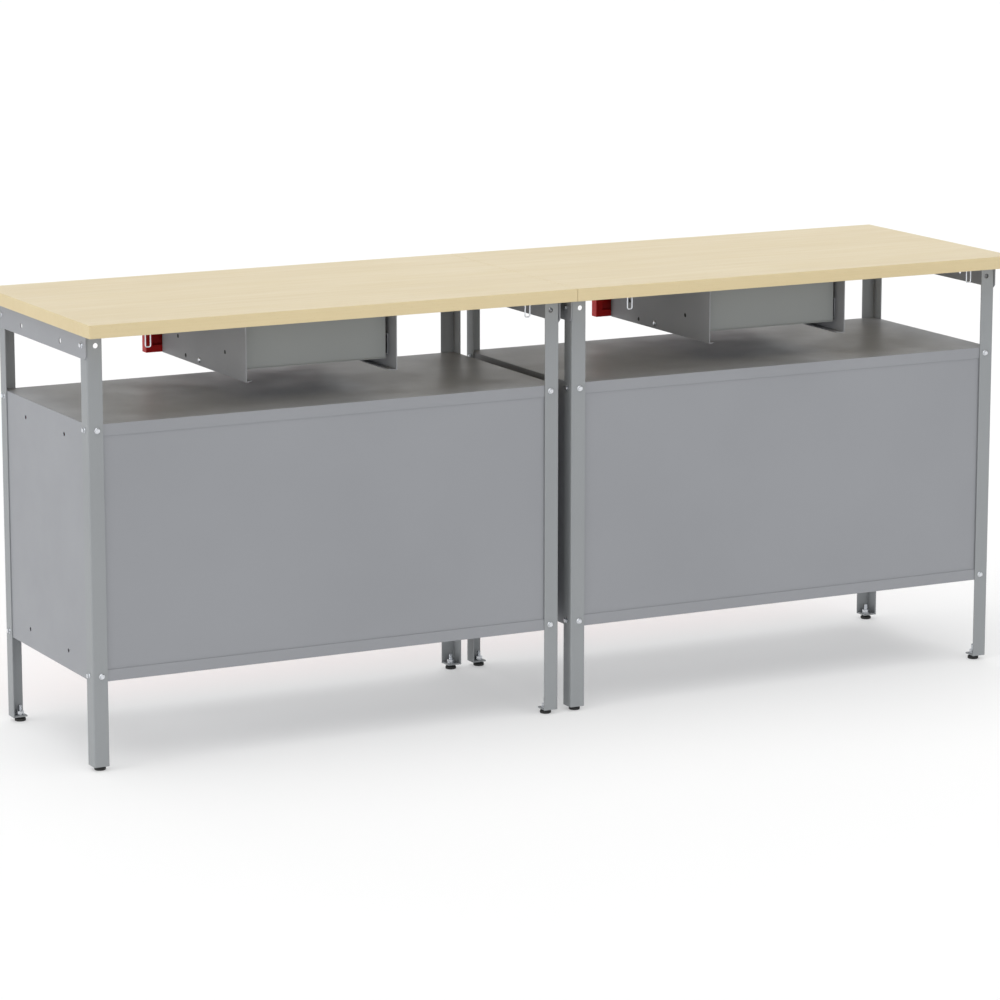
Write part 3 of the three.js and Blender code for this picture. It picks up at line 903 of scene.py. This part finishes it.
@dataclass
class LockCore:
    """The zinc face of a lock cylinder with a black patch in its middle as painted shade for the keyhole,
    turning with the handle.
    """

    bench: str
    radius: float = 0.0068
    keyway_shade: tuple[float, float, float] = (0.0011, 0.0008, 0.0052)

    def build(self) -> None:
        """Makes the cylinder's face and the black patch of painted shade for the keyhole in the handle's
        hub.
        """
        low, high = (Vector(corner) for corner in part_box(f"{self.bench}_lock_handle"))
        hub = Vector(((low.x + high.x) / 2, low.y, high.z - LOCK_DROP))
        place = aim(Vector((0, -1, 0)), hub)
        body = NODE_BODY[f"{self.bench}_lock_handle"]
        face = bmesh.new()
        turned(face, [(0, -0.001), (self.radius, -0.001), (self.radius, 0.0005),
                      (self.radius - 0.0004, 0.0009), (0.0042, 0.0009), (0.0038, 0.0006), (0, 0.0006)], 36)
        bmesh.ops.transform(face, matrix=place, verts=face.verts)
        publish(face, f"{self.bench}_lock_core", Finish.ZINC, body, 25.0)
        # painted shade: a black plastic block standing in for the dark inside the keyhole
        slot = bmesh.new()
        size = Matrix.Diagonal((*self.keyway_shade, 1.0))
        at = Matrix.Translation(hub - Vector((0, 0.0003, 0)))
        bmesh.ops.create_cube(slot, size=1.0, matrix=at @ size)
        soften(slot, 0.00012, 2)
        publish(slot, f"{self.bench}_keyway", Finish.PLASTIC, body)


@dataclass
class HoleShadePlugs:
    """Dished black discs in a drawer hanger's holes, painted shade standing in for the dark seen through
    the holes.
    """

    node: str
    outward: int
    radius: float = 0.0042
    places: tuple[tuple[float, float], ...] = ((0.116, 0.0105), (0.306, 0.044), (0.079, 0.043))

    def build(self) -> None:
        """Makes the dark discs of painted shade, sunk just under the plate's outer face."""
        low, high = (Vector(corner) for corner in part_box(self.node))
        face = high.x - HANGER_FLANGE if self.outward > 0 else low.x + HANGER_FLANGE
        mesh = bmesh.new()
        for along, up in self.places:
            fresh = turned(mesh, [(0, -0.0016), (self.radius, -0.0016), (self.radius, -0.0003),
                                  (self.radius - 0.0005, -0.0001), (self.radius * 0.7, -0.0007),
                                  (0, -0.0009)], 24)
            at = Vector((face, low.y + along, low.z + up))
            bmesh.ops.transform(mesh, matrix=aim(Vector((self.outward, 0, 0)), at), verts=fresh)
        # the black rubber here is painted shade for the dark seen through the holes
        publish(mesh, f"{self.node}_shade_plugs", Finish.RUBBER, STATIC_BODY)


# ---- studio --------------------------------------------------------------------------------


@dataclass
class Studio:
    """Pale floor, soft lights and the camera."""

    azimuth: float = 152.71
    elevation: float = 11.28
    distance: float = 8.21
    lens: float = 148.95
    target: tuple[float, float, float] = (0.0267, 0.0, 0.388)
    floor_reach: float = 150.0
    floor_tone: float = 0.62
    floor_glow: float = 0.34  # the floor's own faint light, which keeps its shadows pale
    ambient: float = 0.32
    horizon: float = 1.02
    band: tuple[float, float] = (0.11, 0.17)  # sines of the heights where the horizon fades

    def build(self) -> None:
        """Sets the scene."""
        self._floor()
        self._world()
        self._sun("overhead", (0.1, 0.1, 1.0), strength=1.80, spread=80.0)
        self._sun("side", (1.0, 0.0, 0.16), strength=1.32, spread=45.0)
        self._sun("rear", (0.05, 1.0, 0.2), strength=0.82, spread=45.0)
        self._sun("front", (-0.3, -0.9, 0.5), strength=0.5, spread=60.0)
        bpy.context.scene.view_settings.view_transform = "Standard"
        self._camera()

    def _floor(self) -> None:
        """Makes the floor as one large sheet."""
        mesh = bmesh.new()
        bmesh.ops.create_grid(mesh, x_segments=1, y_segments=1, size=self.floor_reach)
        data = bpy.data.meshes.new("floor")
        mesh.to_mesh(data)
        mesh.free()
        floor = bpy.data.objects.new("floor", data)
        bpy.context.scene.collection.objects.link(floor)
        tree = Tree("pale_floor")
        tree.shader.inputs["Base Color"].default_value = (*[self.floor_tone] * 3, 1.0)
        tree.shader.inputs["Emission Color"].default_value = (1.0, 1.0, 1.0, 1.0)
        tree.shader.inputs["Emission Strength"].default_value = self.floor_glow
        tree.shader.inputs["Roughness"].default_value = 0.9
        tree.shader.inputs["Specular IOR Level"].default_value = 0.1
        data.materials.append(tree.material)

    def _world(self) -> None:
        """Makes an even surround, brighter in a narrow band at the horizon."""
        world = bpy.data.worlds.new("surround")
        world.use_nodes = True
        background = world.node_tree.nodes["Background"]
        background.inputs["Color"].default_value = (1.0, 1.0, 1.0, 1.0)
        coords = world.node_tree.nodes.new("ShaderNodeTexCoord")
        split = world.node_tree.nodes.new("ShaderNodeSeparateXYZ")
        fade = world.node_tree.nodes.new("ShaderNodeMapRange")
        ranges = (*self.band, self.horizon, self.ambient)
        for name, number in zip(("From Min", "From Max", "To Min", "To Max"), ranges):
            fade.inputs[name].default_value = number
        world.node_tree.links.new(coords.outputs["Generated"], split.inputs["Vector"])
        world.node_tree.links.new(split.outputs["Z"], fade.inputs["Value"])
        world.node_tree.links.new(fade.outputs["Result"], background.inputs["Strength"])
        bpy.context.scene.world = world

    def _sun(self, name: str, toward: tuple[float, float, float], strength: float,
             spread: float) -> None:
        """Adds a distant soft light.

        Args:
            name: the light's name.
            toward: the way from the bench to the light.
            strength: its strength.
            spread: the angle that it fills, in degrees.
        """
        data = bpy.data.lights.new(name, "SUN")
        data.energy = strength
        data.angle = math.radians(spread)
        light = bpy.data.objects.new(name, data)
        light.rotation_euler = Vector(toward).to_track_quat("Z", "Y").to_euler()
        bpy.context.scene.collection.objects.link(light)

    def _camera(self) -> None:
        """Adds the camera, looking down on the bench's rear from one end."""
        a, e = math.radians(self.azimuth), math.radians(self.elevation)
        back = Vector((math.sin(a) * math.cos(e), -math.cos(a) * math.cos(e), math.sin(e)))
        data = bpy.data.cameras.new("camera")
        data.lens = self.lens
        data.sensor_width = 36.0
        data.clip_end = 500.0
        camera = bpy.data.objects.new("camera", data)
        camera.location = Vector(self.target) + back * self.distance
        camera.rotation_euler = (-back).to_track_quat("-Z", "Y").to_euler()
        bpy.context.scene.collection.objects.link(camera)
        bpy.context.scene.camera = camera


# ---- the whole bench -------------------------------------------------------------------------


@dataclass
class Bench:
    """One of the two benches."""

    name: str

    def build(self) -> None:
        """Makes every piece of the bench."""
        Worktop(f"{self.name}_worktop").build()
        for piece in self._rolled():
            piece.build()
        DrawerBox(self.name).build()
        for end in ENDS:
            for side in SIDES:
                LevellingFoot(f"{self.name}_foot_{end}_{side}").build()
        for side in SIDES:
            WireLoop(f"{self.name}_wire_loop_{side}").build()
        # the hangers' black hole discs are painted shade for the dark seen through the holes
        for side, outward in SIDES.items():
            HoleShadePlugs(f"{self.name}_drawer_hanger_{side}", outward).build()
        LockPlate(self.name).build()
        LockCore(self.name).build()
        Fixings(self.name).build()

    def _rolled(self) -> list[RolledPiece]:
        """Lists the bench's sheet and moulded pieces with their finishes.

        Returns:
            The pieces, ready to build.
        """
        legs = [f"leg_{end}_{side}" for end in ENDS for side in SIDES]
        grey = ["cabinet_top", "cabinet_bottom", "cabinet_back", "shelf"]
        grey += [f"{kind}_{side}" for kind in ("side_rail", "cabinet_side", "drawer_hanger")
                 for side in SIDES]
        red = ["drawer_front", "door_left", "door_right"]
        named: list[tuple[list[str], Finish, float, int]] = [
            (legs, Finish.LEG, 0.0004, 2),
            (grey, Finish.PANEL, 0.0005, 2),
            (red, Finish.RED, 0.0006, 3),
            ([f"drawer_runner_{side}" for side in SIDES], Finish.RUNNER, 0.0004, 2),
            (["drawer_pull", "lock_handle"], Finish.PLASTIC, 0.0007, 3),
            (["lock_cam"], Finish.ZINC, 0.0004, 2),
        ]
        return [RolledPiece(f"{self.name}_{part}", finish, width, steps)
                for parts, finish, width, steps in named for part in parts]


def main() -> None:
    """Builds the studio and both benches."""
    logging.basicConfig(level=logging.INFO, format="%(name)s %(message)s")
    Studio().build()
    for name in BENCHES:
        Bench(name).build()


if __name__ == "__main__":
    main()
